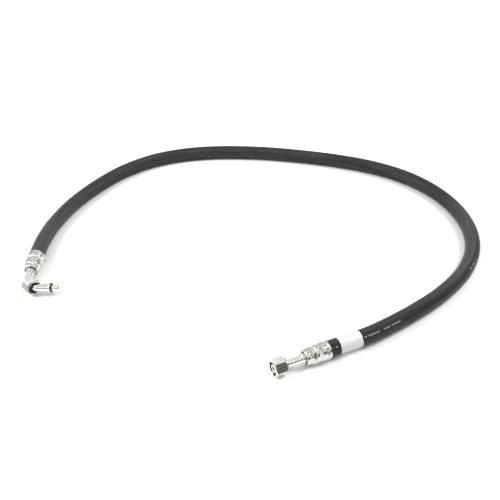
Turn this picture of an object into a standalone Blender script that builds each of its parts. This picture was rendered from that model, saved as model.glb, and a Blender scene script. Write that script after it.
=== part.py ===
"""Hydraulic hose assembly: a two-braid hose with a crimped 90 degree elbow connector at one end and a
crimped straight connector at the other, both of the tube type with a captive nut and an O-ring.

Metres, +Z up. The origin is on the floor, under the middle of the two connectors' bounding box.
+X runs along the elbow's leg, and the hose loops away towards +Y and +X.
"""

import math

import bmesh
import bpy
from mathutils import Matrix, Vector

# Hose layers from the outside in: name, outer radius, wall, length hidden in each ferrule, colour,
# metallic, roughness. The cover is skived (cut back), so that the crimp grips the braid.
HOSE_LAYERS = (
    ("hose_cover", 0.0100, 0.00116, 0.0074, (0.035, 0.035, 0.038), 0.0, 0.72),
    ("hose_outer_braid", 0.0085, 0.00053, 0.0230, (0.55, 0.50, 0.40), 0.9, 0.38),
    ("hose_insulation_layer", 0.00765, 0.00034, 0.0230, (0.03, 0.03, 0.03), 0.0, 0.80),
    ("hose_inner_braid", 0.0070, 0.00053, 0.0230, (0.55, 0.50, 0.40), 0.9, 0.38),
    ("hose_inner_tube", 0.00615, 0.00116, 0.0230, (0.02, 0.02, 0.02), 0.0, 0.60),
)
HOSE_POINT_SPACING = 0.054  # between the faceted hose's rings, under three diameters
HOSE_RING_DETAIL = 4  # bevel resolution, which gives twelve sides
CURVE_STEPS = 40  # fine steps along each stretch of the route, to measure its length

# Connectors. Distances along a connector are counted from its ferrule's mouth towards its tip.
AXIS_HEIGHT = 0.0113  # the ferrule's radius, so it lies on the floor
ELBOW_MOUTH = (-0.1821, 0.10445)
ELBOW_HEADING = -90.0  # degrees from +X, the way from the hose to the elbow's corner
STRAIGHT_MOUTH = (0.18876, -0.06565)
STRAIGHT_HEADING = 205.0
ROUND_SIDES = 24

TUBE_RADIUS = 0.00475  # 3/8 inch tube
TUBE_BORE = 0.00365
TUBE_START = 0.0323  # in the stem's socket
PILOT_RADIUS = 0.0042
PILOT_RIM = 0.0051
PILOT_BORE = 0.00275
BEAD_RADIUS = 0.0063
BEAD_TO_TIP = 0.0123
O_RING_SECTION = 0.00095
O_RING_MIDDLE = 0.0055
O_RING_FROM_BEAD = 0.00355

ELBOW_CORNER = 0.06325  # where the two straight axes of the elbow would meet
ELBOW_RADIUS = 0.0190
ELBOW_ANGLE = 90.0
ELBOW_STEPS = 9
ELBOW_LEG = 0.0425  # from that corner to the tip
STRAIGHT_TIP = 0.06935

NUT_FLATS = 0.0190  # across flats, 3/4 inch
NUT_LENGTH = 0.0165
NUT_HOLE = 0.0055
NUT_THREAD = 0.0072  # radius at the thread's crests, 5/8-18
STRAIGHT_NUT_BACK = 0.05335
STRAIGHT_NUT_ROLL = 6.0  # degrees about its axis
# The elbow's nut hangs slack on the bend. Its back face's centre is this far along the hose's axis
# from the elbow's corner, and this far towards the leg.
ELBOW_NUT_BACK = (0.01114, 0.00130)
ELBOW_NUT_TURN = 44.0  # degrees from the hose's axis towards the leg's
ELBOW_NUT_ROLL = 0.0

LABEL_START = 0.01275  # from the straight connector's mouth, back along the hose
LABEL_WIDTH = 0.0286
LABEL_RADII = (0.01034, 0.01068)

# The hose's centreline between its two straight leads, chosen by hand along the floor.
ROUTE = (
    (-0.1821, 0.1217, 0.0113),
    (-0.1809, 0.1411, 0.0110),
    (-0.1757, 0.1761, 0.0102),
    (-0.1589, 0.2261, 0.0101),
    (-0.1319, 0.2746, 0.0101),
    (-0.0964, 0.3196, 0.0101),
    (-0.0509, 0.3536, 0.0101),
    (0.0031, 0.3726, 0.0101),
    (0.0611, 0.3786, 0.0101),
    (0.1211, 0.3756, 0.0101),
    (0.1811, 0.3659, 0.0101),
    (0.2411, 0.3511, 0.0101),
    (0.2931, 0.3316, 0.0101),
    (0.3381, 0.3036, 0.0101),
    (0.3731, 0.2661, 0.0101),
    (0.3961, 0.2211, 0.0101),
    (0.4056, 0.1711, 0.0101),
    (0.3996, 0.1221, 0.0101),
    (0.3766, 0.0741, 0.0101),
    (0.3411, 0.0331, 0.0101),
    (0.3001, -0.0009, 0.0101),
    (0.2621, -0.0274, 0.0105),
    (0.2343, -0.0444, 0.0113),
)


def clear_scene():
    for obj in list(bpy.data.objects):
        bpy.data.objects.remove(obj, do_unlink=True)


def material(name, colour, metallic, roughness):
    made = bpy.data.materials.new(name)
    made.use_nodes = True
    shader = made.node_tree.nodes["Principled BSDF"]
    shader.inputs["Base Color"].default_value = (*colour, 1.0)
    shader.inputs["Metallic"].default_value = metallic
    shader.inputs["Roughness"].default_value = roughness
    made.diffuse_color = (*colour, 1.0)
    return made


def zinc(name):
    return material(name, (0.72, 0.72, 0.69), 1.0, 0.28)


def add_object(name, data, parent=None, matrix=None):
    obj = bpy.data.objects.new(name, data)
    bpy.context.scene.collection.objects.link(obj)
    obj.parent = parent
    obj.matrix_local = matrix or Matrix.Identity(4)
    return obj


def finished_mesh(name, bm, skin=None, smooth=True):
    bmesh.ops.recalc_face_normals(bm, faces=bm.faces)
    mesh = bpy.data.meshes.new(name)
    bm.to_mesh(mesh)
    bm.free()
    if smooth:
        mesh.shade_smooth()
        mesh.set_sharp_from_angle(angle=math.radians(30))
    if skin:
        mesh.materials.append(skin)
    return mesh


def turned_mesh(name, profile, skin=None, sides=ROUND_SIDES):
    """A closed outline of (distance along the axis, radius) turned about local Z."""
    bm = bmesh.new()
    corners = [bm.verts.new((radius, 0, along)) for along, radius in profile]
    edges = [bm.edges.new((a, b)) for a, b in zip(corners, corners[1:] + corners[:1])]
    bmesh.ops.spin(
        bm,
        geom=corners + edges,
        cent=(0, 0, 0),
        axis=(0, 0, 1),
        angle=math.tau,
        steps=sides,
        use_merge=True,
    )
    bmesh.ops.remove_doubles(bm, verts=bm.verts, dist=1e-6)
    return finished_mesh(name, bm, skin)


def connector_frame(name, mouth, heading):
    """An empty at the ferrule's mouth, with local +Z along the connector and local +Y up."""
    angle = math.radians(heading)
    along = Vector((math.cos(angle), math.sin(angle), 0))
    up = Vector((0, 0, 1))
    frame = Matrix((up.cross(along), up, along)).transposed().to_4x4()
    frame.translation = (*mouth, AXIS_HEIGHT)
    return add_object(name, None, matrix=frame)


def smooth_stretch(before, start, end, after, share):
    """A point on the smooth curve through four neighbouring route points, between the middle two."""
    near, far = (start - before).length, (after - end).length
    span = (end - start).length
    leave = (end - before) * (span / (near + span))
    arrive = (after - start) * (span / (far + span))
    a, b = share * share, share * share * share
    return (
        start * (2 * b - 3 * a + 1)
        + leave * (b - 2 * a + share)
        + end * (3 * a - 2 * b)
        + arrive * (b - a)
    )


def hose_centreline(mouths):
    """Evenly spaced points on the smooth curve through the route, from lead to lead."""
    route = [mouths[0], *map(Vector, ROUTE), mouths[1]]
    fine = [route[1]]
    for four in zip(route, route[1:], route[2:], route[3:]):
        fine += [smooth_stretch(*four, (step + 1) / CURVE_STEPS) for step in range(CURVE_STEPS)]
    lengths = [0.0]
    for a, b in zip(fine, fine[1:]):
        lengths.append(lengths[-1] + (b - a).length)
    count = round(lengths[-1] / HOSE_POINT_SPACING)
    points, at = [], 0
    for index in range(count + 1):
        while lengths[at] < lengths[-1] * index / count - 1e-9:
            at += 1
        points.append(fine[at])
    return points


def hose_layer(name, radius, wall, hidden, colour, metallic, roughness, ends):
    """One concentric layer: a tube along the hose, whose open ends the wall closes as rings."""
    mouths = [end.matrix_world.translation.copy() for end in ends]
    inward = [end.matrix_world.to_3x3() @ Vector((0, 0, hidden)) for end in ends]
    points = [mouths[0] + inward[0], *hose_centreline(mouths), mouths[1] + inward[1]]
    curve = bpy.data.curves.new(name, "CURVE")
    curve.dimensions = "3D"
    curve.twist_mode = "Z_UP"
    curve.bevel_depth = radius
    curve.bevel_resolution = HOSE_RING_DETAIL
    spline = curve.splines.new("POLY")
    spline.points.add(len(points) - 1)
    for place, point in zip(spline.points, points):
        place.co = (*point, 1.0)
    curve.materials.append(material(name, colour, metallic, roughness))
    layer = add_object(name, curve)
    solid = layer.modifiers.new("wall", "SOLIDIFY")
    solid.thickness = wall
    solid.offset = -1.0
    solid.use_even_offset = True
    return layer


def label_sleeve(end):
    """The wrapped label: a thin ring round the straight lead beside the straight connector."""
    near, far = -LABEL_START, -LABEL_START - LABEL_WIDTH
    inner, outer = LABEL_RADII
    outline = [(far, inner), (near, inner), (near, outer), (far, outer)]
    skin = material("label_sleeve", (0.88, 0.88, 0.88), 0.0, 0.45)
    return add_object("label_sleeve", turned_mesh("label_sleeve", outline, skin), end)


def ferrule(name, end):
    """The crimped shell: a flared mouth, swaged bands, and a lip that grips the stem's groove."""
    outside = [
        (0.0000, 0.0109),
        (0.0004, 0.0113),
        (0.0028, 0.0113),
        (0.0038, 0.0107),
        (0.0056, 0.0107),
        (0.0064, 0.0111),
        (0.0076, 0.0111),
        (0.0084, 0.0104),
        (0.0122, 0.0104),
        (0.0130, 0.0109),
        (0.0144, 0.0109),
        (0.0152, 0.0102),
        (0.0190, 0.0102),
        (0.0198, 0.0106),
        (0.0212, 0.0106),
        (0.0220, 0.0101),
        (0.0256, 0.0099),
        (0.0266, 0.0095),
        (0.0301, 0.0094),
        (0.0305, 0.0091),
    ]
    inside = [
        (0.0305, 0.0079),
        (0.0282, 0.0077),
        (0.0278, 0.0054),
        (0.0250, 0.0054),
        (0.0250, 0.0070),
        (0.0235, 0.0090),
        (0.0080, 0.0090),
        (0.0078, 0.01045),
        (0.0000, 0.01045),
    ]
    return add_object(name, turned_mesh(name, outside + inside, zinc(name)), end)


def stem(name, end):
    """The insert: barbs inside the hose's bore, a groove for the ferrule's lip and a tube socket."""
    outline = [(0.0010, 0.0040)]
    for barb in range(5):
        start = 0.0030 + 0.0038 * barb
        outline += [(start, 0.0040), (start + 0.0028, 0.00445), (start + 0.0032, 0.0040)]
    outline += [
        (0.0238, 0.0041),
        (0.0240, 0.0062),
        (0.0246, 0.0062),
        (0.0248, 0.0051),
        (0.0280, 0.0051),
        (0.0284, 0.0058),
        (0.0340, 0.0058),
        (0.0344, 0.0055),
        (0.0344, 0.0050),
        (0.0320, 0.0050),
        (0.0318, 0.0032),
        (0.0010, 0.0032),
    ]
    return add_object(name, turned_mesh(name, outline, zinc(name)), end)


def tube_station(along, bend_start):
    """Centre and direction of the connector tube's axis, in the connector's frame."""
    past = along - bend_start
    arc = math.radians(ELBOW_ANGLE) * ELBOW_RADIUS
    if past <= 0:
        return Vector((0, 0, along)), 0.0
    turn = min(past, arc) / ELBOW_RADIUS
    centre = Vector((1 - math.cos(turn), 0, math.sin(turn))) * ELBOW_RADIUS
    centre += Vector((math.sin(turn), 0, math.cos(turn))) * max(past - arc, 0.0)
    return centre + Vector((0, 0, bend_start)), turn


def connector_tube(name, end, tip, bend_start=math.inf):
    """The tube from the stem's socket to its tip, with the bead, the pilot and the pilot's rim."""
    bends = []
    if bend_start < tip:
        step = math.radians(ELBOW_ANGLE) * ELBOW_RADIUS / ELBOW_STEPS
        bends = [bend_start + step * index for index in range(ELBOW_STEPS + 1)]
    bead = tip - BEAD_TO_TIP
    outside = [(TUBE_START, TUBE_RADIUS), *((bend, TUBE_RADIUS) for bend in bends)]
    outside += [
        (bead, TUBE_RADIUS),
        (bead + 0.0008, BEAD_RADIUS - 0.0003),
        (bead + 0.0011, BEAD_RADIUS),
        (bead + 0.0019, BEAD_RADIUS),
        (bead + 0.0022, BEAD_RADIUS - 0.0003),
        (bead + 0.0023, PILOT_RADIUS),
        (tip - 0.0021, PILOT_RADIUS),
        (tip - 0.0016, PILOT_RIM),
        (tip - 0.0004, PILOT_RIM),
        (tip, PILOT_RIM - 0.0004),
    ]
    inside = [(TUBE_START, TUBE_BORE), *((bend, TUBE_BORE) for bend in bends)]
    inside += [(bead, TUBE_BORE), (bead + 0.0016, PILOT_BORE), (tip - 0.0004, PILOT_BORE), (tip, 0.0031)]
    bm = bmesh.new()
    rings = []
    for along, radius in outside + inside[::-1]:
        centre, turn = tube_station(along, bend_start)
        place = Matrix.Translation(centre) @ Matrix.Rotation(turn, 4, "Y")
        circle = bmesh.ops.create_circle(bm, segments=ROUND_SIDES, radius=radius, matrix=place)
        rings.append(circle["verts"])
    for first, second in zip(rings, rings[1:] + rings[:1]):
        for side in range(ROUND_SIDES):
            bm.faces.new((first[side - 1], first[side], second[side], second[side - 1]))
    return add_object(name, finished_mesh(name, bm, zinc(name)), end)


def o_ring(name, end, place):
    """A round-section seal on the pilot, just in front of the bead."""
    bm = bmesh.new()
    around = Matrix.Translation((O_RING_MIDDLE, 0, 0)) @ Matrix.Rotation(math.pi / 2, 4, "X")
    section = bmesh.ops.create_circle(bm, segments=10, radius=O_RING_SECTION, matrix=around)
    edges = list({edge for vert in section["verts"] for edge in vert.link_edges})
    bmesh.ops.spin(
        bm,
        geom=section["verts"] + edges,
        cent=(0, 0, 0),
        axis=(0, 0, 1),
        angle=math.tau,
        steps=ROUND_SIDES,
        use_merge=True,
    )
    bmesh.ops.remove_doubles(bm, verts=bm.verts, dist=1e-6)
    skin = material(name, (0.02, 0.16, 0.09), 0.0, 0.42)
    return add_object(name, finished_mesh(name, bm, skin), end, place)


def cutter(name, profile, nut):
    tool = add_object(name, turned_mesh(name, profile), nut)
    tool.hide_render = True
    tool.display_type = "WIRE"
    return tool


def hex_nut(name, end, place):
    """A captive nut with its origin on its own axis: a hexagon with turned chamfers, a round back
    collar, a clearance hole for the tube, a seat for the bead and the threaded mouth."""
    bm = bmesh.new()
    bmesh.ops.create_cone(
        bm,
        cap_ends=True,
        segments=6,
        radius1=NUT_FLATS / math.sqrt(3),
        radius2=NUT_FLATS / math.sqrt(3),
        depth=NUT_LENGTH,
        matrix=Matrix.Translation((0, 0, NUT_LENGTH / 2)) @ Matrix.Rotation(math.pi / 6, 4, "Z"),
    )
    nut = add_object(name, finished_mesh(name, bm, zinc(name), smooth=False), end, place)
    turning = [
        (-0.0010, 0.0020),
        (-0.0010, 0.0078),
        (0.0000, 0.0078),
        (0.0003, 0.0081),
        (0.0018, 0.0081),
        (0.0019, 0.0092),
        (0.0030, 0.0112),
        (NUT_LENGTH - 0.0016, 0.0112),
        (NUT_LENGTH, 0.0088),
        (NUT_LENGTH + 0.0010, 0.0073),
        (NUT_LENGTH + 0.0010, 0.0020),
    ]
    bore = [
        (-0.0020, 0.0010),
        (-0.0020, 0.0083),
        (0.0008, NUT_HOLE),
        (0.0026, NUT_HOLE),
        (0.0043, NUT_THREAD),
        (NUT_LENGTH - 0.0015, NUT_THREAD),
        (NUT_LENGTH, 0.0083),
        (NUT_LENGTH + 0.0020, 0.0098),
        (NUT_LENGTH + 0.0020, 0.0010),
    ]
    for label, operation, profile in (("turning", "INTERSECT", turning), ("bore", "DIFFERENCE", bore)):
        cut = nut.modifiers.new(label, "BOOLEAN")
        cut.operation = operation
        cut.solver = "EXACT"
        cut.object = cutter(f"{name}_{label}", profile, nut)
    return nut


def along_axis(distance, roll=0.0):
    return Matrix.Translation((0, 0, distance)) @ Matrix.Rotation(math.radians(roll), 4, "Z")


def elbow_connector(end):
    bend_start = ELBOW_CORNER - ELBOW_RADIUS
    arc = math.radians(ELBOW_ANGLE) * ELBOW_RADIUS
    tip = bend_start + arc + ELBOW_LEG - ELBOW_RADIUS
    ferrule("elbow_ferrule", end)
    stem("elbow_stem", end)
    connector_tube("elbow_tube", end, tip, bend_start)
    seal, turn = tube_station(tip - BEAD_TO_TIP + O_RING_FROM_BEAD, bend_start)
    o_ring("elbow_o_ring", end, Matrix.Translation(seal) @ Matrix.Rotation(turn, 4, "Y"))
    before, aside = ELBOW_NUT_BACK
    back = Matrix.Translation((aside, 0, ELBOW_CORNER - before))
    tilt = Matrix.Rotation(math.radians(ELBOW_NUT_TURN), 4, "Y")
    hex_nut("elbow_nut", end, back @ tilt @ along_axis(0, ELBOW_NUT_ROLL))


def straight_connector(end):
    ferrule("straight_ferrule", end)
    stem("straight_stem", end)
    connector_tube("straight_tube", end, STRAIGHT_TIP)
    o_ring("straight_o_ring", end, along_axis(STRAIGHT_TIP - BEAD_TO_TIP + O_RING_FROM_BEAD))
    hex_nut("straight_nut", end, along_axis(STRAIGHT_NUT_BACK, STRAIGHT_NUT_ROLL))


def main():
    clear_scene()
    elbow_end = connector_frame("elbow_end", ELBOW_MOUTH, ELBOW_HEADING)
    straight_end = connector_frame("straight_end", STRAIGHT_MOUTH, STRAIGHT_HEADING)
    bpy.context.view_layer.update()
    for layer in HOSE_LAYERS:
        hose_layer(*layer, ends=(elbow_end, straight_end))
    label_sleeve(straight_end)
    elbow_connector(elbow_end)
    straight_connector(straight_end)


main()
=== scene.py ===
"""Looks of the hydraulic hose assembly: a hose with a finely woven rubber cover, crimped ferrules with
jaw marks, threaded hex nuts, formed tube ends, O-rings and a blank label, on a white studio floor.

Metres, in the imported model's frame: the origin is on the floor, +X along the elbow's leg, +Z up.
Profiles that say so are in millimetres.
"""

import math
import random

import bpy
from mathutils import Matrix, Vector


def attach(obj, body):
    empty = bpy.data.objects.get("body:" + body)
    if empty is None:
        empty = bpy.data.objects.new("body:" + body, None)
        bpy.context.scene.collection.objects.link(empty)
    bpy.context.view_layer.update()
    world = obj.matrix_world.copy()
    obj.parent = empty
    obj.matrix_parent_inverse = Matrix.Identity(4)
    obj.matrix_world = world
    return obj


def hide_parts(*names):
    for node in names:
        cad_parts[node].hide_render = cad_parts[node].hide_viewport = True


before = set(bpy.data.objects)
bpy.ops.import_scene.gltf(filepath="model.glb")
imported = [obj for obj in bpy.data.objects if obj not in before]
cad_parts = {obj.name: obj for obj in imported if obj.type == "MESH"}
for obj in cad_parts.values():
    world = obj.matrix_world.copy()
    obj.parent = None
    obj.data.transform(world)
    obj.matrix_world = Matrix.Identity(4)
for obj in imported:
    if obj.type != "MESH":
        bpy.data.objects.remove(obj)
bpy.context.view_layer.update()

MM = 0.001
ROOT = "hose_assembly"
UNMOVED = Matrix.Identity(4)

# ---------------------------------------------------------------- route and connectors, as in the CAD
AXIS_HEIGHT = 0.0113
ELBOW_MOUTH, ELBOW_HEADING = (-0.1821, 0.10445), -90.0
STRAIGHT_MOUTH, STRAIGHT_HEADING = (0.18876, -0.06565), 205.0
ELBOW_CORNER, ELBOW_RADIUS, ELBOW_LEG = 0.06325, 0.0190, 0.0425
STRAIGHT_TIP = 0.06935
BEAD_TO_TIP, BEAD_TO_O_RING = 0.0123, 0.00355
TUBE_START, TUBE_RADIUS, TUBE_BORE = 0.0323, 0.00475, 0.00365
BEAD_RADIUS, PILOT_RADIUS, PILOT_BORE, RIM_RADIUS = 0.0063, 0.0042, 0.00275, 0.0051
O_RING_RADIUS, O_RING_THICKNESS = 0.0055, 0.0019
STRAIGHT_NUT_BACK, STRAIGHT_NUT_ROLL = 0.05335, 6.0
ELBOW_NUT_BACK, ELBOW_NUT_TURN, ELBOW_NUT_ROLL = (0.01114, 0.00130), 44.0, 0.0
LABEL_START, LABEL_WIDTH = 0.01275, 0.0286

HOSE_DIAMETER = 0.0200
HIDDEN_LENGTH = 0.0230  # hose inside each ferrule
PATH_SPACING = 0.004
# name, outer radius, wall, length hidden in each ferrule, ring spacing, sides
HOSE_LAYERS = (
    ("hose_cover", 0.0100, 0.00116, 0.0074, 0.0030, 64),
    ("hose_outer_braid", 0.0085, 0.00053, 0.0230, 0.0080, 32),
    ("hose_insulation_layer", 0.00765, 0.00034, 0.0230, 0.0080, 32),
    ("hose_inner_braid", 0.0070, 0.00053, 0.0230, 0.0080, 32),
    ("hose_inner_tube", 0.00615, 0.00116, 0.0230, 0.0080, 32),
)
ROUTE = (
    (-0.1821, 0.1217, 0.0113),
    (-0.1809, 0.1411, 0.0110),
    (-0.1757, 0.1761, 0.0102),
    (-0.1589, 0.2261, 0.0101),
    (-0.1319, 0.2746, 0.0101),
    (-0.0964, 0.3196, 0.0101),
    (-0.0509, 0.3536, 0.0101),
    (0.0031, 0.3726, 0.0101),
    (0.0611, 0.3786, 0.0101),
    (0.1211, 0.3756, 0.0101),
    (0.1811, 0.3659, 0.0101),
    (0.2411, 0.3511, 0.0101),
    (0.2931, 0.3316, 0.0101),
    (0.3381, 0.3036, 0.0101),
    (0.3731, 0.2661, 0.0101),
    (0.3961, 0.2211, 0.0101),
    (0.4056, 0.1711, 0.0101),
    (0.3996, 0.1221, 0.0101),
    (0.3766, 0.0741, 0.0101),
    (0.3411, 0.0331, 0.0101),
    (0.3001, -0.0009, 0.0101),
    (0.2621, -0.0274, 0.0105),
    (0.2343, -0.0444, 0.0113),
)


def connector_matrix(mouth, heading):
    """Local +Z runs along the connector from its ferrule's mouth to its tip, and local +Y is up."""
    angle = math.radians(heading)
    along, up = Vector((math.cos(angle), math.sin(angle), 0)), Vector((0, 0, 1))
    matrix = Matrix((up.cross(along), up, along)).transposed().to_4x4()
    matrix.translation = (*mouth, AXIS_HEIGHT)
    return matrix


ELBOW = connector_matrix(ELBOW_MOUTH, ELBOW_HEADING)
STRAIGHT = connector_matrix(STRAIGHT_MOUTH, STRAIGHT_HEADING)


# ---------------------------------------------------------------- camera, floor and light
CAMERA_PLACE, CAMERA_TILT = (0.1004, -0.6317, 0.5970), 52.0  # degrees from straight down
SENSOR_WIDTH, CAMERA_LENS = 36.0, 51.15  # millimetres
FLOOR_HALF = 6.0
LAMP_TARGET, LAMP_SIZE = (0.10, 0.15, 0.0), 0.85
# name, place, watts
LAMPS = (("left_lamp", (-1.55, -0.15, 1.62), 39.0), ("right_lamp", (1.50, 0.30, 1.75), 32.0))

# The tent's brightness by height (the sine of the angle above the floor), and what is added at two places
TENT = ((0.0, 0.58), (0.13, 0.60), (0.35, 0.55), (0.62, 0.64), (1.0, 0.64))
BACK_GLOW, FRONT_TOP_GLOW = 0.35, 0.51
# Towards the tent's dim opening, and the cosines of the angles at which it starts and is full
OPENING, OPENING_EDGE, OPENING_HEART = (0.66, -0.66, 0.34), 0.92, 0.97
DIM_LOSS, GAP_SHARE = 0.80, 0.60  # the part of its light that a dim place loses, and the gap's share of it


def add_object(name, data, matrix=UNMOVED):
    obj = bpy.data.objects.new(name, data)
    bpy.context.scene.collection.objects.link(obj)
    obj.matrix_world = matrix
    return obj


def camera():
    data = bpy.data.cameras.new("camera")
    data.sensor_width, data.lens = SENSOR_WIDTH, CAMERA_LENS
    obj = add_object("camera", data)
    obj.location = CAMERA_PLACE
    obj.rotation_euler = (math.radians(CAMERA_TILT), 0, 0)
    bpy.context.scene.camera = obj


def soft_lamp(name, place, power):
    """A round lamp turned towards the middle of the loop."""
    data = bpy.data.lights.new(name, "AREA")
    data.shape, data.size, data.energy = "DISK", LAMP_SIZE, power
    aim = (Vector(LAMP_TARGET) - Vector(place)).to_track_quat("-Z", "Y").to_matrix().to_4x4()
    add_object(name, data, Matrix.Translation(place) @ aim)


def world_light():
    """A white tent, brighter high up at the front and at the back. It has a dim opening low down at the
    front right, a dim strip low at the front, and a narrow gap overhead. Y runs away from the viewer."""
    world = bpy.data.worlds.new("tent")
    bpy.context.scene.world = world
    world.use_nodes = True
    tree = world.node_tree
    tree.nodes.clear()
    net = Net(tree)
    direction = net.node("ShaderNodeTexCoord").outputs["Generated"]
    _, y, z = net.split(direction)
    bright = net.ramp(z, TENT)
    back = net.math("MULTIPLY", net.smooth(y, 0.30, 0.60), net.smooth(z, 0.35, 0.55))
    bright = net.math("MULTIPLY_ADD", back, BACK_GLOW, bright)
    front_top = net.math("MULTIPLY", net.smooth(y, -0.10, -0.45), net.smooth(z, 0.46, 0.64))
    bright = net.math("MULTIPLY_ADD", front_top, FRONT_TOP_GLOW, bright)

    facing = net.node("ShaderNodeVectorMath", {"operation": "DOT_PRODUCT"})
    net.link(direction, facing.inputs[0])
    net.link(OPENING, facing.inputs[1])
    opening = net.smooth(facing.outputs["Value"], OPENING_EDGE, OPENING_HEART)
    strip = net.math("MULTIPLY", net.smooth(y, -0.45, -0.70), net.smooth(z, 0.34, 0.24))
    dim = net.math("MULTIPLY", net.math("MAXIMUM", opening, strip), net.smooth(z, 0.09, 0.13))
    gap = net.math("MULTIPLY", net.smooth(y, -0.13, -0.17), net.smooth(y, -0.31, -0.27))
    gap = net.math("MULTIPLY", gap, net.smooth(z, 0.80, 0.90))
    dim = net.math("MAXIMUM", dim, net.math("MULTIPLY", gap, GAP_SHARE))
    level = net.math("MULTIPLY", bright, net.math("MULTIPLY_ADD", dim, -DIM_LOSS, 1.0))

    background = net.node("ShaderNodeBackground", Color=(1.0, 1.0, 1.0, 1.0))
    net.link(level, background.inputs["Strength"])
    out = net.node("ShaderNodeOutputWorld")
    net.link(background.outputs[0], out.inputs["Surface"])


def studio():
    mesh = bpy.data.meshes.new("floor")
    corners = [(x * FLOOR_HALF, y * FLOOR_HALF, 0) for x, y in ((-1, -1), (1, -1), (1, 1), (-1, 1))]
    mesh.from_pydata(corners, [], [(0, 1, 2, 3)])
    floor = add_object("floor", mesh)
    mesh.materials.append(floor_material())
    world_light()
    for lamp in LAMPS:
        soft_lamp(*lamp)
    view = bpy.context.scene.view_settings
    view.view_transform, view.look = "Standard", "None"


# ---------------------------------------------------------------- material nodes
class Net:
    """Short calls for building a node tree. A value is a number, a tuple or another node's output."""

    def __init__(self, tree):
        self.tree = tree

    def link(self, value, socket):
        if isinstance(value, bpy.types.NodeSocket):
            self.tree.links.new(value, socket)
        else:
            socket.default_value = value

    def node(self, kind, settings=(), **inputs):
        made = self.tree.nodes.new(kind)
        for name, value in dict(settings).items():
            setattr(made, name, value)
        for name, value in inputs.items():
            self.link(value, made.inputs[name.replace("_", " ")])
        return made

    def math(self, operation, *values):
        made = self.node("ShaderNodeMath", {"operation": operation})
        for value, socket in zip(values, made.inputs):
            self.link(value, socket)
        return made.outputs[0]

    def split(self, vector):
        made = self.node("ShaderNodeSeparateXYZ", Vector=vector)
        return made.outputs[0], made.outputs[1], made.outputs[2]

    def join(self, x, y, z):
        return self.node("ShaderNodeCombineXYZ", X=x, Y=y, Z=z).outputs[0]

    def scaled(self, vector, scale):
        made = self.node("ShaderNodeVectorMath", {"operation": "MULTIPLY"})
        self.link(vector, made.inputs[0])
        self.link(scale, made.inputs[1])
        return made.outputs[0]

    def smooth(self, value, start, end):
        """0 before start, 1 after end, smooth between them. start may be the larger one."""
        made = self.node("ShaderNodeMapRange", {"interpolation_type": "SMOOTHSTEP"})
        for socket, number in (("Value", value), ("From Min", start), ("From Max", end)):
            self.link(number, made.inputs[socket])
        return made.outputs[0]

    def ramp(self, value, stops):
        """Greys between the stops of (position, level)."""
        made = self.node("ShaderNodeValToRGB", Fac=value)
        elements = made.color_ramp.elements
        for index, (position, level) in enumerate(stops):
            element = elements[index] if index < 2 else elements.new(position)
            element.position = position
            element.color = grey(level)
        return made.outputs[0]

    def noise(self, vector, scale, detail=3.0, roughness=0.55):
        made = self.node("ShaderNodeTexNoise", Vector=vector, Scale=scale, Detail=detail)
        self.link(roughness, made.inputs["Roughness"])
        return made.outputs["Fac"]

    def mix(self, share, first, second):
        made = self.node("ShaderNodeMix", {"data_type": "RGBA"})
        self.link(share, made.inputs[0])
        self.link(first, made.inputs[6])
        self.link(second, made.inputs[7])
        return made.outputs[2]

    def bump(self, height, distance, strength=1.0, normal=None):
        made = self.node("ShaderNodeBump", Height=height, Distance=distance, Strength=strength)
        if normal is not None:
            self.link(normal, made.inputs["Normal"])
        return made.outputs[0]


def material(name, **values):
    """(material, net, shader) of a new material, with the shader's plain values set."""
    made = bpy.data.materials.new(name)
    made.use_nodes = True
    net = Net(made.node_tree)
    shader = made.node_tree.nodes["Principled BSDF"]
    for key, value in values.items():
        net.link(value, shader.inputs[key.replace("_", " ")])
    return made, net, shader


def grey(level, tint=(1.0, 1.0, 1.0)):
    return (level * tint[0], level * tint[1], level * tint[2], 1.0)


def floor_material():
    made, net, shader = material("studio_floor", Roughness=0.9, Specular_IOR_Level=0.0)
    place = net.node("ShaderNodeTexCoord").outputs["Object"]
    net.link(net.mix(net.noise(place, 3.0), grey(0.86), grey(0.885)), shader.inputs["Base Color"])
    return made


CREST_FADE = 0.00745, 0.00727  # radii between which the painted highlight on a thread's crest fades in


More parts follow.
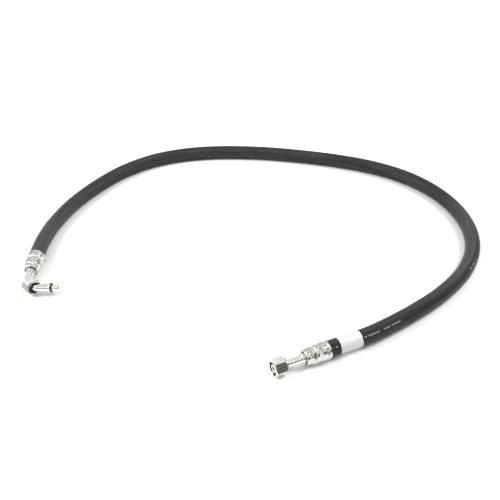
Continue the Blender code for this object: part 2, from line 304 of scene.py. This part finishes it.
def zinc_material(name, bright, ring_marks=0.0, warmth=0.5, bore=0.0, softness=0.09):
    """Bright zinc plate: cloudy passivation, fine grain, turning marks round the axis, painted shade in the
    grooves and rubbed edges. Inside bore, a radius round local Z, the steel is painted dark as shade, lighter
    where rubbed, with a painted highlight on the threads' crests. A nut with such a bore has painted shade on
    its -X side."""
    made, net, shader = material(name, Metallic=1.0)
    place = net.node("ShaderNodeTexCoord").outputs["Object"]
    x, y, z = net.split(place)
    cloud = net.noise(place, 260.0, 4.0)
    patch = net.noise(place, 90.0, 2.0)
    silver = net.mix(patch, grey(bright, (1.0, 0.995, 0.97)), grey(bright * 0.84, (1.0, 0.99, 0.93)))
    olive = net.math("MULTIPLY", net.smooth(cloud, 0.46, 0.70), warmth)
    tinted = net.mix(olive, silver, (0.50, 0.49, 0.36, 1.0))
    point = net.node("ShaderNodeNewGeometry").outputs["Pointiness"]
    # Painted shade in the grooves, where the pointiness is low
    groove = net.smooth(point, 0.492, 0.450)
    groove_shaded = net.mix(net.math("MULTIPLY", groove, 0.75), tinted, (0.16, 0.155, 0.13, 1.0))
    rubbed = net.math("MULTIPLY", net.smooth(point, 0.512, 0.560), net.smooth(cloud, 0.40, 0.62))
    colour = net.mix(rubbed, groove_shaded, grey(0.88))
    rough = net.math("MULTIPLY_ADD", cloud, 0.16, softness)
    scratch = net.noise(net.scaled(place, (1.0, 1.0, 0.12)), 2600.0, 2.0)
    rough = net.math("MULTIPLY_ADD", net.smooth(scratch, 0.60, 0.75), 0.12, rough)
    rough = net.math("MULTIPLY_ADD", groove, 0.15, rough)
    if bore:
        radius = net.math("SQRT", net.math("ADD", net.math("MULTIPLY", x, x), net.math("MULTIPLY", y, y)))
        inside = net.smooth(radius, bore, bore - 0.0004)
        # Painted shade on the nut's -X side
        shaded_side = net.smooth(net.math("DIVIDE", x, radius), -0.60, -0.80)
        colour = net.mix(net.math("MULTIPLY", shaded_side, 0.8), colour, (0.24, 0.24, 0.225, 1.0))
        # Painted shade inside the bore, a little lighter on rubbed edges
        bore_shade_and_wear = net.mix(rubbed, (0.022, 0.022, 0.018, 1.0), (0.20, 0.20, 0.17, 1.0))
        # Painted highlight on the threads' crests
        crest = net.math("MULTIPLY", net.smooth(radius, *CREST_FADE), 0.55)
        colour = net.mix(inside, colour, net.mix(crest, bore_shade_and_wear, (0.50, 0.50, 0.46, 1.0)))
        rough = net.math("MULTIPLY_ADD", inside, 0.15, rough)
    net.link(colour, shader.inputs["Base Color"])
    net.link(rough, shader.inputs["Roughness"])
    grain = net.bump(net.noise(place, 2400.0, 2.0), 0.00004, 0.35)
    if ring_marks:
        rings = net.noise(net.join(0.0, 0.0, net.math("MULTIPLY", z, 3400.0)), 1.0, 2.0)
        grain = net.bump(rings, 0.00006, ring_marks, grain)
    net.link(grain, shader.inputs["Normal"])
    return made


# Each point of the hose's layers carries its place in the hose: X and Y across it, with the printed line
# where X is greatest and Y is 0, and Z the metres from the straight connector's mouth.
HOSE_SPACE = "hose_space"
# Stretches of print in metres from the straight connector's mouth, repeated along the hose
PRINT_PERIOD, PRINT_STRETCHES = 0.300, ((0.0012, 0.0100), (0.043, 0.097), (0.237, 0.261))
DASH_PERIOD, WORDS_PER_METRE = 0.0019, 95.0
STRIPE_SHIFT = 1.4  # millimetres round the hose from the printed line to the stripe's middle
# Where painted light makes the cover paler, in metres from the straight connector's mouth
LIT_BEND, LIT_END = 0.29, (1.00, 1.13)
WEAVE_THREADS, WEAVE_SLANT = 5200.0, 0.0628


def cover_material():
    """Rubber with a fine cloth weave, dust and dull streaks along the hose, and a smooth black stripe
    with a worn pale line of printed dashes on it."""
    made, net, shader = material(
        "cover_rubber", Specular_IOR_Level=0.14, Sheen_Weight=0.01, Sheen_Roughness=0.45
    )
    space = net.node("ShaderNodeAttribute", {"attribute_name": HOSE_SPACE}).outputs["Vector"]
    x, y, z = net.split(space)
    angle = net.math("DIVIDE", net.math("ARCTAN2", y, x), math.tau)
    cloud = net.noise(space, 55.0, 4.0)
    streak = net.noise(net.scaled(space, (1.0, 1.0, 0.03)), 900.0, 3.0)
    streak = net.smooth(streak, 0.30, 0.70)
    band = net.smooth(net.noise(net.scaled(space, (1.0, 1.0, 0.05)), 230.0, 2.0), 0.38, 0.62)
    dark, light = (0.011, 0.011, 0.0125, 1.0), (0.032, 0.0305, 0.034, 1.0)
    colour = net.mix(net.math("MULTIPLY_ADD", streak, 0.6, net.math("MULTIPLY", cloud, 0.4)), dark, light)
    colour = net.mix(net.math("MULTIPLY", band, 0.50), colour, (0.047, 0.047, 0.048, 1.0))
    dust = net.math("MULTIPLY", net.smooth(net.noise(space, 420.0, 5.0, 0.7), 0.56, 0.80), 0.25)
    colour = net.mix(dust, colour, (0.085, 0.083, 0.080, 1.0))

    # Painted light: paler in the bend next to the straight connector, and at the elbow's end
    bend = net.smooth(net.math("ABSOLUTE", net.math("SUBTRACT", z, LIT_BEND)), 0.14, 0.04)
    painted_light = net.math("MAXIMUM", bend, net.smooth(z, *LIT_END))
    painted_light = net.math("MULTIPLY", painted_light, net.math("MULTIPLY_ADD", streak, 0.50, 0.20))
    colour = net.mix(painted_light, colour, (0.078, 0.075, 0.082, 1.0))

    # The stripe, and the printed line on it. turned_by is in millimetres round the hose.
    turned_by = net.math("MULTIPLY", angle, math.tau * HOSE_DIAMETER / 2 / MM)
    stripe = net.smooth(net.math("ABSOLUTE", net.math("ADD", turned_by, STRIPE_SHIFT)), 5.0, 3.0)
    ragged = net.smooth(streak, 0.25, 0.50)
    stripe = net.math("MULTIPLY", stripe, net.math("MULTIPLY_ADD", ragged, 0.25, 0.60))
    colour = net.mix(stripe, colour, (0.006, 0.006, 0.007, 1.0))
    line = net.smooth(net.math("ABSOLUTE", turned_by), 1.05, 0.85)
    run = net.math("MULTIPLY", net.math("FRACT", net.math("DIVIDE", z, PRINT_PERIOD)), PRINT_PERIOD)
    stretch = 0.0
    for start, end in PRINT_STRETCHES:
        part = net.math("MULTIPLY", net.smooth(run, start, start + MM), net.smooth(run, end, end - MM))
        stretch = net.math("ADD", stretch, part)
    word = net.noise(net.join(net.math("MULTIPLY", z, WORDS_PER_METRE), 0.0, 0.0), 1.0, 1.0)
    word = net.smooth(word, 0.415, 0.445)
    dash = net.math("FRACT", net.math("DIVIDE", z, DASH_PERIOD))
    dash = net.math("MULTIPLY", net.smooth(dash, 0.10, 0.18), net.smooth(dash, 0.86, 0.74))
    worn = net.smooth(net.noise(space, 700.0, 4.0, 0.7), 0.36, 0.56)
    ink = stretch
    for part in (line, word, dash, worn):
        ink = net.math("MULTIPLY", ink, part)
    colour = net.mix(net.math("MULTIPLY", ink, 0.72), colour, (0.48, 0.48, 0.47, 1.0))
    net.link(colour, shader.inputs["Base Color"])

    rough = net.math("MULTIPLY_ADD", cloud, 0.12, net.math("MULTIPLY_ADD", band, 0.10, 0.32))
    net.link(net.math("MULTIPLY_ADD", dust, 0.5, rough), shader.inputs["Roughness"])
    warp, weft = (
        net.math("SINE", net.math("MULTIPLY", net.math("MULTIPLY_ADD", angle, slant, z), WEAVE_THREADS))
        for slant in (WEAVE_SLANT, -WEAVE_SLANT)
    )
    weave = net.bump(net.math("MULTIPLY", warp, weft), 0.00007, 0.55)
    net.link(net.bump(streak, 0.00025, 0.45, weave), shader.inputs["Normal"])
    return made


BRAID_SLANT, BRAID_STRANDS = 900.0, 10.0  # radians per metre along the hose, and strands round it


def braid_material():
    """Brassed steel wires that cross each other at a slant."""
    made, net, shader = material("braid_wire", Metallic=0.9, Roughness=0.36)
    x, y, z = net.split(net.node("ShaderNodeAttribute", {"attribute_name": HOSE_SPACE}).outputs["Vector"])
    angle = net.math("ARCTAN2", y, x)
    one, two = (
        net.math("SINE", net.math("MULTIPLY_ADD", z, BRAID_SLANT, net.math("MULTIPLY", angle, strands)))
        for strands in (BRAID_STRANDS, -BRAID_STRANDS)
    )
    weave = net.math("MAXIMUM", one, two)
    net.link(
        net.mix(net.smooth(weave, 0.0, 0.9), (0.10, 0.09, 0.07, 1.0), (0.60, 0.53, 0.38, 1.0)),
        shader.inputs["Base Color"],
    )
    net.link(net.bump(weave, 0.0002), shader.inputs["Normal"])
    return made


def inner_rubber_material():
    made, net, shader = material("inner_rubber", Roughness=0.6)
    space = net.node("ShaderNodeAttribute", {"attribute_name": HOSE_SPACE}).outputs["Vector"]
    net.link(
        net.mix(net.noise(space, 300.0), (0.012, 0.012, 0.012, 1.0), (0.030, 0.029, 0.028, 1.0)),
        shader.inputs["Base Color"],
    )
    return made


def seal_material():
    made, net, shader = material("seal_rubber", Specular_IOR_Level=0.5)
    place = net.node("ShaderNodeTexCoord").outputs["Object"]
    cloud = net.noise(place, 900.0, 3.0)
    green = net.mix(cloud, (0.002, 0.024, 0.015, 1.0), (0.004, 0.043, 0.027, 1.0))
    net.link(green, shader.inputs["Base Color"])
    net.link(net.math("MULTIPLY_ADD", cloud, 0.15, 0.28), shader.inputs["Roughness"])
    net.link(net.bump(net.noise(place, 4000.0), 0.00002, 0.4), shader.inputs["Normal"])
    return made


def label_material():
    made, net, shader = material("label_film", Specular_IOR_Level=0.45)
    place = net.node("ShaderNodeTexCoord").outputs["Object"]
    cloud = net.noise(place, 120.0, 4.0)
    speck = net.smooth(net.noise(place, 1500.0, 3.0, 0.7), 0.66, 0.76)
    paper = net.mix(cloud, grey(0.585, (1.0, 1.0, 1.03)), grey(0.54, (1.0, 1.0, 1.04)))
    net.link(net.mix(net.math("MULTIPLY", speck, 0.25), paper, grey(0.45)), shader.inputs["Base Color"])
    net.link(net.math("MULTIPLY_ADD", cloud, 0.2, 0.32), shader.inputs["Roughness"])
    crease = net.noise(net.scaled(place, (1.0, 1.0, 0.35)), 420.0, 3.0)
    net.link(net.bump(crease, 0.0004, 0.35), shader.inputs["Normal"])
    return made


# ---------------------------------------------------------------- mesh building
def grid_mesh(name, rings, spaces=None, sharp=32.0, flip=False):
    """Quads between neighbouring rings of equal length, and from the last ring to the first. spaces are
    the points' places in the hose, and an edge that turns by more than sharp degrees stays sharp."""
    count = len(rings[0])
    vertices = [tuple(point) for ring in rings for point in ring]
    faces = []
    for row in range(len(rings)):
        here, there = row * count, (row + 1) % len(rings) * count
        for side in range(count):
            after = (side + 1) % count
            face = (here + side, here + after, there + after, there + side)
            faces.append(face[::-1] if flip else face)
    mesh = bpy.data.meshes.new(name)
    mesh.from_pydata(vertices, [], faces)
    if spaces:
        data = mesh.attributes.new(HOSE_SPACE, "FLOAT_VECTOR", "POINT").data
        data.foreach_set("vector", [value for ring in spaces for point in ring for value in point])
    mesh.validate()
    mesh.shade_smooth()
    mesh.set_sharp_from_angle(angle=math.radians(sharp))
    return mesh


def circle(radius, sides, centre=(0.0, 0.0, 0.0), turn=0.0):
    """A ring round local Z, turned about Y. radius may be a function of the angle."""
    ring = []
    for side in range(sides):
        angle = math.tau * side / sides
        size = radius(angle) if callable(radius) else radius
        x, y = size * math.cos(angle), size * math.sin(angle)
        ring.append((centre[0] + x * math.cos(turn), centre[1] + y, centre[2] - x * math.sin(turn)))
    return ring


def filleted(outline, radius, steps=3):
    """The closed outline with each corner cut back and rounded."""
    made = []
    count = len(outline)
    for index in range(count):
        here = Vector(outline[index])
        before, after = Vector(outline[index - 1]), Vector(outline[(index + 1) % count])
        back, ahead = before - here, after - here
        cut = min(radius, 0.40 * back.length, 0.40 * ahead.length)
        start, end = here + back.normalized() * cut, here + ahead.normalized() * cut
        for step in range(steps + 1):
            share = step / steps
            made.append(start * (1 - share) ** 2 + here * 2 * share * (1 - share) + end * share**2)
    return [(point.x, point.y) for point in made]


def refined(outline, step):
    """The closed outline with no stretch longer than step along the axis."""
    made = []
    for (a, ra), (b, rb) in zip(outline, outline[1:] + outline[:1]):
        parts = max(1, math.ceil(abs(b - a) / step))
        made += [(a + (b - a) * part / parts, ra + (rb - ra) * part / parts) for part in range(parts)]
    return made


def piece(name, mesh, matrix, skin, body, node):
    """An object that rides on the body and stands for the CAD node."""
    obj = add_object(name, mesh, matrix)
    mesh.materials.append(skin)
    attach(obj, body)
    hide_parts(node)
    return obj


def turned(name, outline, sides=72, round_by=0.12 * MM):
    """A closed outline of (along, radius) turned about local Z, with small rounded edges."""
    rounded = filleted(outline, round_by)
    return grid_mesh(name, [circle(radius, sides, (0, 0, along)) for along, radius in rounded])


def soft_min(values, width):
    """The smallest value, with the change from one to another rounded over about width."""
    low = min(values)
    return low - width * math.log(sum(math.exp((low - value) / width) for value in values))


def smoothstep(value, start, end):
    share = min(max((value - start) / (end - start), 0.0), 1.0)
    return share * share * (3 - 2 * share)


def level_at(along, stops):
    """The height at along of the straight lines through the stops."""
    for (a, ha), (b, hb) in zip(stops, stops[1:]):
        if along <= b:
            return ha + (hb - ha) * (along - a) / (b - a)
    return stops[-1][1]


# ---------------------------------------------------------------- hose
def smooth_stretch(before, start, end, after, share):
    """The point at a share of the way from start to end, on a curve that also heeds their neighbours."""
    near, far = (start - before).length, (after - end).length
    span = (end - start).length
    leave = (end - before) * (span / (near + span))
    arrive = (after - start) * (span / (far + span))
    a, b = share * share, share * share * share
    from_start = start * (2 * b - 3 * a + 1) + leave * (b - 2 * a + share)
    return from_start + end * (3 * a - 2 * b) + arrive * (b - a)


STRETCH_STEPS = 60  # points worked out between two points of the route


def hose_line(hidden, spacing):
    """(points, length): evenly spaced points of the centreline, from hidden inside the elbow's ferrule to
    hidden inside the straight one's, and the length between the first and the last."""
    starts, ends = ELBOW.translation, STRAIGHT.translation
    route = [starts, *map(Vector, ROUTE), ends]
    fine = [ELBOW @ Vector((0, 0, hidden)), starts.copy(), route[1]]
    for four in zip(route, route[1:], route[2:], route[3:]):
        fine += [smooth_stretch(*four, (step + 1) / STRETCH_STEPS) for step in range(STRETCH_STEPS)]
    fine += [ends.copy(), STRAIGHT @ Vector((0, 0, hidden))]
    lengths = [0.0]
    for a, b in zip(fine, fine[1:]):
        lengths.append(lengths[-1] + (b - a).length)
    count = round(lengths[-1] / spacing)
    points, at = [], 0
    for index in range(count + 1):
        goal = lengths[-1] * index / count
        while at < len(fine) - 2 and lengths[at + 1] < goal:
            at += 1
        share = (goal - lengths[at]) / (lengths[at + 1] - lengths[at])
        points.append(fine[at].lerp(fine[at + 1], min(share, 1.0)))
    return points, lengths[-1]


# Where the printed line sits: metres from the straight connector's mouth back along the hose, and
# degrees from straight up towards the loop's outer side.
PRINT_ANGLE = (
    (-0.05, 44.0), (0.12, 42.0), (0.20, 46.0), (0.28, 48.0), (0.42, 62.0), (0.62, 95.0), (1.30, 110.0),
)


def hose_layer(name, radius, wall, hidden, spacing, sides):
    """A tube along the hose's line, its wall closed at both ends."""
    points, length = hose_line(hidden, spacing)
    outer, inner, outer_space, inner_space = [], [], [], []
    for index, point in enumerate(points):
        along = (points[min(index + 1, len(points) - 1)] - points[max(index - 1, 0)]).normalized()
        outward = along.cross(Vector((0, 0, 1))).normalized() * -1.0
        up = outward.cross(along).normalized()
        if up.z < 0:
            up.negate()
        from_end = length * (1 - index / (len(points) - 1)) - hidden
        printed = math.radians(level_at(from_end, PRINT_ANGLE))
        for rings, spaces, size in ((outer, outer_space, radius), (inner, inner_space, radius - wall)):
            ring, space = [], []
            for side in range(sides):
                angle = math.tau * side / sides
                ring.append(point + (up * math.cos(angle) + outward * math.sin(angle)) * size)
                local = angle - printed
                space.append((size * math.cos(local), size * math.sin(local), from_end))
            rings.append(ring)
            spaces.append(space)
    return grid_mesh(name, outer + inner[::-1], spaces=outer_space + inner_space[::-1], sharp=50.0)


def hose():
    """The hose's five layers, by node."""
    skins = {
        "hose_cover": (cover_material(), "cover_rubber"),
        "hose_outer_braid": (braid_material(), "braid_steel"),
        "hose_insulation_layer": (inner_rubber_material(), "inner_rubber"),
    }
    skins["hose_inner_braid"] = skins["hose_outer_braid"]
    skins["hose_inner_tube"] = skins["hose_insulation_layer"]
    made = {}
    for layer in HOSE_LAYERS:
        name = layer[0]
        skin, slot = skins[name]
        made[name] = piece(f"{name}_piece", hose_layer(*layer), UNMOVED, skin, ROOT, name)
    return made


# ---------------------------------------------------------------- label
LABEL_RADIUS, LABEL_FILM = 0.01008, 0.00013
LABEL_SEAM, LABEL_LAP = math.radians(200.0), math.radians(28.0)
LAP_STEP, EDGE_LIFT, END_LIFT = 0.00022, 0.00012, 0.00025
CREASE_HEIGHT, CORNER_CUT = 0.000012, 0.0016


def label():
    """A film wrapped round the hose with its ends overlapping, its edges a little uneven."""
    rng = random.Random(7)
    columns, rows = 150, 44
    waves = [(rng.uniform(0.3, 1.0), rng.uniform(0, math.tau)) for _ in range(6)]
    near, far = [], []
    for row in range(rows + 1):
        share = row / rows
        inner, outer = [], []
        for column in range(columns + 1):
            turn = column / columns
            angle = LABEL_SEAM + turn * (math.tau + LABEL_LAP)
            over = smoothstep(turn, 0.90, 0.955) * LAP_STEP
            crease = sum(
                size * math.sin(phase + (index + 1) * angle + share * (3 + 2 * index))
                for index, (size, phase) in enumerate(waves)
            )
            lift = EDGE_LIFT * smoothstep(abs(share - 0.5), 0.44, 0.5) * (0.5 + 0.5 * math.sin(5 * angle + 1))
            lift += END_LIFT * smoothstep(turn, 0.985, 1.0)
            radius = LABEL_RADIUS + over + CREASE_HEIGHT * crease + lift
            edge = 0.00014 * math.sin(3 * angle + 0.6) + 0.00006 * math.sin(11 * angle)
            corner = CORNER_CUT * (max(0.0, 1 - min(turn, 1 - turn) * 65) ** 2)
            half = LABEL_WIDTH / 2 - corner
            along = -LABEL_START - LABEL_WIDTH / 2 + (share - 0.5) * 2 * half + edge
            for ring, size in ((inner, radius), (outer, radius + LABEL_FILM)):
                ring.append((size * math.cos(angle), size * math.sin(angle), along))
        near.append(inner)
        far.append(outer)
    count = columns + 1
    vertices = [point for ring in near + far for point in ring]
    faces = []
    shell = (rows + 1) * count
    for row in range(rows):
        for column in range(columns):
            a = row * count + column
            faces.append((a, a + 1, a + count + 1, a + count))
            b = a + shell
            faces.append((b, b + count, b + count + 1, b + 1))
    rim = list(range(count))
    rim += [row * count + columns for row in range(1, rows + 1)]
    rim += [rows * count + column for column in range(columns - 1, -1, -1)]
    rim += [row * count for row in range(rows - 1, 0, -1)]
    for a, b in zip(rim, rim[1:] + rim[:1]):
        faces.append((a, a + shell, b + shell, b))
    mesh = bpy.data.meshes.new("label")
    mesh.from_pydata(vertices, [], [face[::-1] for face in faces])
    mesh.validate()
    mesh.shade_smooth()
    mesh.set_sharp_from_angle(angle=math.radians(50))
    return piece("label_wrap", mesh, STRAIGHT, label_material(), ROOT, "label_sleeve")


# ---------------------------------------------------------------- ferrules
# In millimetres: (along, outer radius) before crimping, and (along, radius) of the inside, from the tip back
SHELL = (
    (0.0, 10.95), (0.35, 11.28), (2.6, 11.28), (3.4, 11.2), (7.0, 11.15), (13.8, 10.95), (20.6, 10.65),
    (26.0, 10.1), (26.9, 9.55), (30.0, 9.45), (30.5, 9.1),
)
SHELL_INSIDE = (
    (30.5, 8.1), (30.2, 7.9), (28.4, 7.7), (28.1, 7.6), (27.8, 5.6), (27.6, 5.4), (25.2, 5.4), (25.0, 5.6),
    (25.0, 7.0), (23.5, 9.0), (8.0, 9.0), (7.8, 9.2), (7.8, 10.3), (7.6, 10.45), (0.3, 10.45), (0.0, 10.65),
)
# start, end, distance of the pressed flats from the axis, jaws' turn in degrees
CRIMPS = (
    (3.0, 5.6, 10.15, 16.0),
    (11.2, 14.6, 9.85, 29.0),
    (18.9, 21.8, 9.65, 15.0),
    (24.7, 27.0, 9.20, 28.0),
)
JAWS = 8
CRIMP_RAMP, CRIMP_REACH = 1.25, 1.6  # rise per millimetre beside a crimp, and how far it goes
RIDGE_HEIGHT, RIDGE_WIDTH = 0.42, math.radians(2.6)


def crimped_radius(along, angle, depths):
    """Outer radius in millimetres: a round shell, pressed flat by eight jaws in each crimp."""
    sizes = [level_at(along, SHELL)]
    pitch = math.tau / JAWS
    for index, (start, end, flat, turn) in enumerate(CRIMPS):
        outside = max(start - along, along - end, 0.0)
        if outside > CRIMP_REACH:
            continue
        share = (angle - math.radians(turn)) / pitch
        jaw = math.floor(share)
        off = (share - jaw - 0.5) * pitch
        facet = (flat + depths[index][jaw % JAWS]) / math.cos(off)
        ridge = RIDGE_HEIGHT * math.exp(-(((pitch / 2 - abs(off)) / RIDGE_WIDTH) ** 2))
        sizes.append(facet + ridge + CRIMP_RAMP * outside)
    return soft_min(sizes, 0.07)


def ferrule(name, node, matrix, seed, skin):
    """The crimped shell. seed varies how deep each jaw has pressed."""
    rng = random.Random(seed)
    depths = [[rng.uniform(-0.07, 0.07) for _ in range(JAWS)] for _ in CRIMPS]
    sides = 192
    rows = sorted({0.0, 0.12, 0.35, 30.12, 30.35, 30.5, *(0.30 * step for step in range(2, 101))})
    rings = [
        circle(lambda angle: crimped_radius(along, angle, depths) * MM, sides, (0, 0, along * MM))
        for along in rows
    ]
    rings += [circle(radius * MM, sides, (0, 0, along * MM)) for along, radius in SHELL_INSIDE]
    return piece(name, grid_mesh(name, rings, sharp=40.0), matrix, skin, ROOT, node)


def stem(name, node, matrix, skin):
    """The barbed insert, with the groove for the ferrule's lip, its collar and the tube's socket."""
    outline = [(1.0, 4.0)]
    for barb in range(5):
        start = 3.0 + 3.8 * barb
        outline += [(start, 4.0), (start + 2.8, 4.45), (start + 3.2, 4.0)]
    outline += [(23.8, 4.1), (24.0, 6.2), (24.6, 6.2), (24.8, 5.1), (28.0, 5.1), (28.4, 5.8), (34.0, 5.8)]
    outline += [(34.4, 5.5), (34.4, 5.0), (32.0, 5.0), (31.8, 3.2), (1.0, 3.2)]
    outline = [(along * MM, radius * MM) for along, radius in outline]
    return piece(name, turned(name, outline), matrix, skin, ROOT, node)


# ---------------------------------------------------------------- connector tubes
def tube_station(along, bend_start):
    """Centre and direction of the tube's axis at a distance along it, in the connector's frame."""
    past, arc = along - bend_start, math.pi / 2 * ELBOW_RADIUS
    if past <= 0:
        return Vector((0, 0, along)), 0.0
    turn = min(past, arc) / ELBOW_RADIUS
    centre = Vector((1 - math.cos(turn), 0, math.sin(turn))) * ELBOW_RADIUS
    centre += Vector((math.sin(turn), 0, math.cos(turn))) * max(past - arc, 0.0)
    return centre + Vector((0, 0, bend_start)), turn


def connector_tube(name, node, matrix, tip, skin, bend_start=math.inf):
    """The tube from its socket to its tip, with the rolled bead, the pilot and the pilot's rim."""
    bead = tip - BEAD_TO_TIP
    outline = [
        (TUBE_START, TUBE_RADIUS), (bead - 0.0002, TUBE_RADIUS), (bead + 0.0004, 0.0052),
        (bead + 0.0007, 0.0060), (bead + 0.0011, BEAD_RADIUS), (bead + 0.0019, BEAD_RADIUS),
        (bead + 0.0022, 0.0060), (bead + 0.0023, PILOT_RADIUS), (tip - 0.0022, PILOT_RADIUS),
        (tip - 0.0015, RIM_RADIUS), (tip - 0.0004, RIM_RADIUS), (tip, 0.0047), (tip, 0.0032),
        (tip - 0.0004, PILOT_BORE), (bead + 0.0016, PILOT_BORE), (bead, TUBE_BORE), (TUBE_START, TUBE_BORE),
    ]
    rings = []
    for along, radius in refined(filleted(outline, 0.25 * MM), 0.0009):
        centre, turn = tube_station(along, bend_start)
        rings.append(circle(radius, sides=64, centre=centre, turn=turn))
    return piece(name, grid_mesh(name, rings, sharp=40.0), matrix, skin, ROOT, node)


def o_ring(name, node, matrix, skin):
    rings, steps, half = [], 20, O_RING_THICKNESS / 2
    for step in range(steps):
        angle = math.tau * step / steps
        radius, along = O_RING_RADIUS + half * math.cos(angle), half * math.sin(angle)
        rings.append(circle(radius, sides=72, centre=(0, 0, along)))
    return piece(name, grid_mesh(name, rings, flip=True), matrix, skin, ROOT, node)


# ---------------------------------------------------------------- nuts
# In millimetres from the nut's back face
NUT_LENGTH, NUT_APOTHEM = 16.5, 9.5
THREAD_PITCH, THREAD_CREST, THREAD_DEPTH, THREAD_STEPS = 25.4 / 18, 7.2, 0.72, 92


def hex_radius(angle):
    """The hexagon's outline in millimetres, with slightly rounded corners and a flat square to local +Y."""
    turns = [math.cos(angle - math.radians(30 + 60 * side)) for side in range(6)]
    return soft_min([NUT_APOTHEM / turn for turn in turns if turn > 0.5], 0.06)


def thread_radius(along, angle):
    """The threaded wall, with its lead-in cone at the mouth and its run-out at the back."""
    phase = (along / THREAD_PITCH - angle / math.tau) % 1.0
    tooth = min(max((0.5 - abs(phase - 0.5)) * 2 * 1.25 - 0.08, 0.0), 1.0)
    cut = THREAD_CREST + THREAD_DEPTH * tooth * smoothstep(along, 4.3, 6.0)
    return max(cut, THREAD_CREST + (along - (NUT_LENGTH - 1.5)) * 1.1 / 1.5)


def nut_profile(angle):
    """(along, radius) of the nut's section at that angle, the same count at every angle. The chamfers
    start at back and front, and the captive hole and its seat come last."""
    corner = hex_radius(angle)
    back = 1.9 + (corner - 9.2) / 1.818
    front = NUT_LENGTH - (corner - 8.8) / 1.5
    outside = [(0.0, 7.7), (0.1, 7.85), (0.3, 8.05), (0.45, 8.1)]
    outside += [(1.72, 8.1), (1.86, 8.2), (1.9, 8.4), (1.9, 9.15)]
    outside += [(back - 0.06, corner - 0.11), (back - 0.02, corner - 0.03), (back + 0.10, corner)]
    for share in (0.2, 0.4, 0.6, 0.8):
        outside.append((back + (front - back) * share, corner))
    outside += [(front - 0.12, corner), (front + 0.02, corner - 0.03), (front + 0.07, corner - 0.11)]
    outside += [(NUT_LENGTH - 0.10, 8.95), (NUT_LENGTH - 0.02, 8.85)]
    outside += [(NUT_LENGTH, 8.75), (NUT_LENGTH, 8.40)]
    top, bottom = NUT_LENGTH - 0.06, 4.4
    threads = [top + (bottom - top) * step / THREAD_STEPS for step in range(THREAD_STEPS + 1)]
    inside = [(along, thread_radius(along, angle)) for along in threads]
    inside += [(4.25, 7.15), (2.65, 5.55), (2.5, 5.5), (0.9, 5.5), (0.75, 5.55), (0.05, 6.25), (0.0, 6.4)]
    return outside + inside


def nut(name, node, matrix, skin, body):
    sides = 216
    profiles = [nut_profile(math.tau * side / sides) for side in range(sides)]
    rings = []
    for row in range(len(profiles[0])):
        ring = []
        for side, profile in enumerate(profiles):
            along, radius = profile[row]
            angle = math.tau * side / sides
            ring.append((radius * MM * math.cos(angle), radius * MM * math.sin(angle), along * MM))
        rings.append(ring)
    return piece(name, grid_mesh(name, rings, sharp=28.0), matrix, skin, body, node)


# ---------------------------------------------------------------- assembly
def shifted(along, roll=0.0):
    """Moved along local Z, and turned about it by roll degrees."""
    return Matrix.Translation((0, 0, along)) @ Matrix.Rotation(math.radians(roll), 4, "Z")


def build():
    """Every piece of the assembly, and the hose's centre line worked out."""
    layers = hose()
    wrap = label()
    shell_skin = zinc_material("zinc_ferrule", bright=0.72, warmth=0.85, softness=0.13)
    part_skin = zinc_material("zinc_turned", bright=0.92, ring_marks=0.25, warmth=0.3)
    nut_skin = zinc_material("zinc_nut", bright=0.92, ring_marks=0.15, warmth=0.5, bore=0.0083)
    seal_skin = seal_material()

    bend_start = ELBOW_CORNER - ELBOW_RADIUS
    elbow_tip = bend_start + math.pi / 2 * ELBOW_RADIUS + ELBOW_LEG - ELBOW_RADIUS
    ferrule("elbow_shell", "elbow_ferrule", ELBOW, 11, shell_skin)
    ferrule("straight_shell", "straight_ferrule", STRAIGHT, 23, shell_skin)
    stem("elbow_insert", "elbow_stem", ELBOW, part_skin)
    stem("straight_insert", "straight_stem", STRAIGHT, part_skin)
    connector_tube("elbow_pipe", "elbow_tube", ELBOW, elbow_tip, part_skin, bend_start)
    connector_tube("straight_pipe", "straight_tube", STRAIGHT, STRAIGHT_TIP, part_skin)

    centre, turn = tube_station(elbow_tip - BEAD_TO_TIP + BEAD_TO_O_RING, bend_start)
    on_pilot = Matrix.Translation(centre) @ Matrix.Rotation(turn, 4, "Y")
    o_ring("elbow_seal", "elbow_o_ring", ELBOW @ on_pilot, seal_skin)
    on_pilot = shifted(STRAIGHT_TIP - BEAD_TO_TIP + BEAD_TO_O_RING)
    o_ring("straight_seal", "straight_o_ring", STRAIGHT @ on_pilot, seal_skin)

    before, aside = ELBOW_NUT_BACK
    hung = Matrix.Translation((aside, 0, ELBOW_CORNER - before))
    hung = hung @ Matrix.Rotation(math.radians(ELBOW_NUT_TURN), 4, "Y") @ shifted(0.0, ELBOW_NUT_ROLL)
    nut("elbow_hex_nut", "elbow_nut", ELBOW @ hung, nut_skin, "elbow_nut")
    held = shifted(STRAIGHT_NUT_BACK, STRAIGHT_NUT_ROLL)
    nut("straight_hex_nut", "straight_nut", STRAIGHT @ held, nut_skin, "straight_nut")

    path, _ = hose_line(HIDDEN_LENGTH, PATH_SPACING)


camera()
studio()
build()
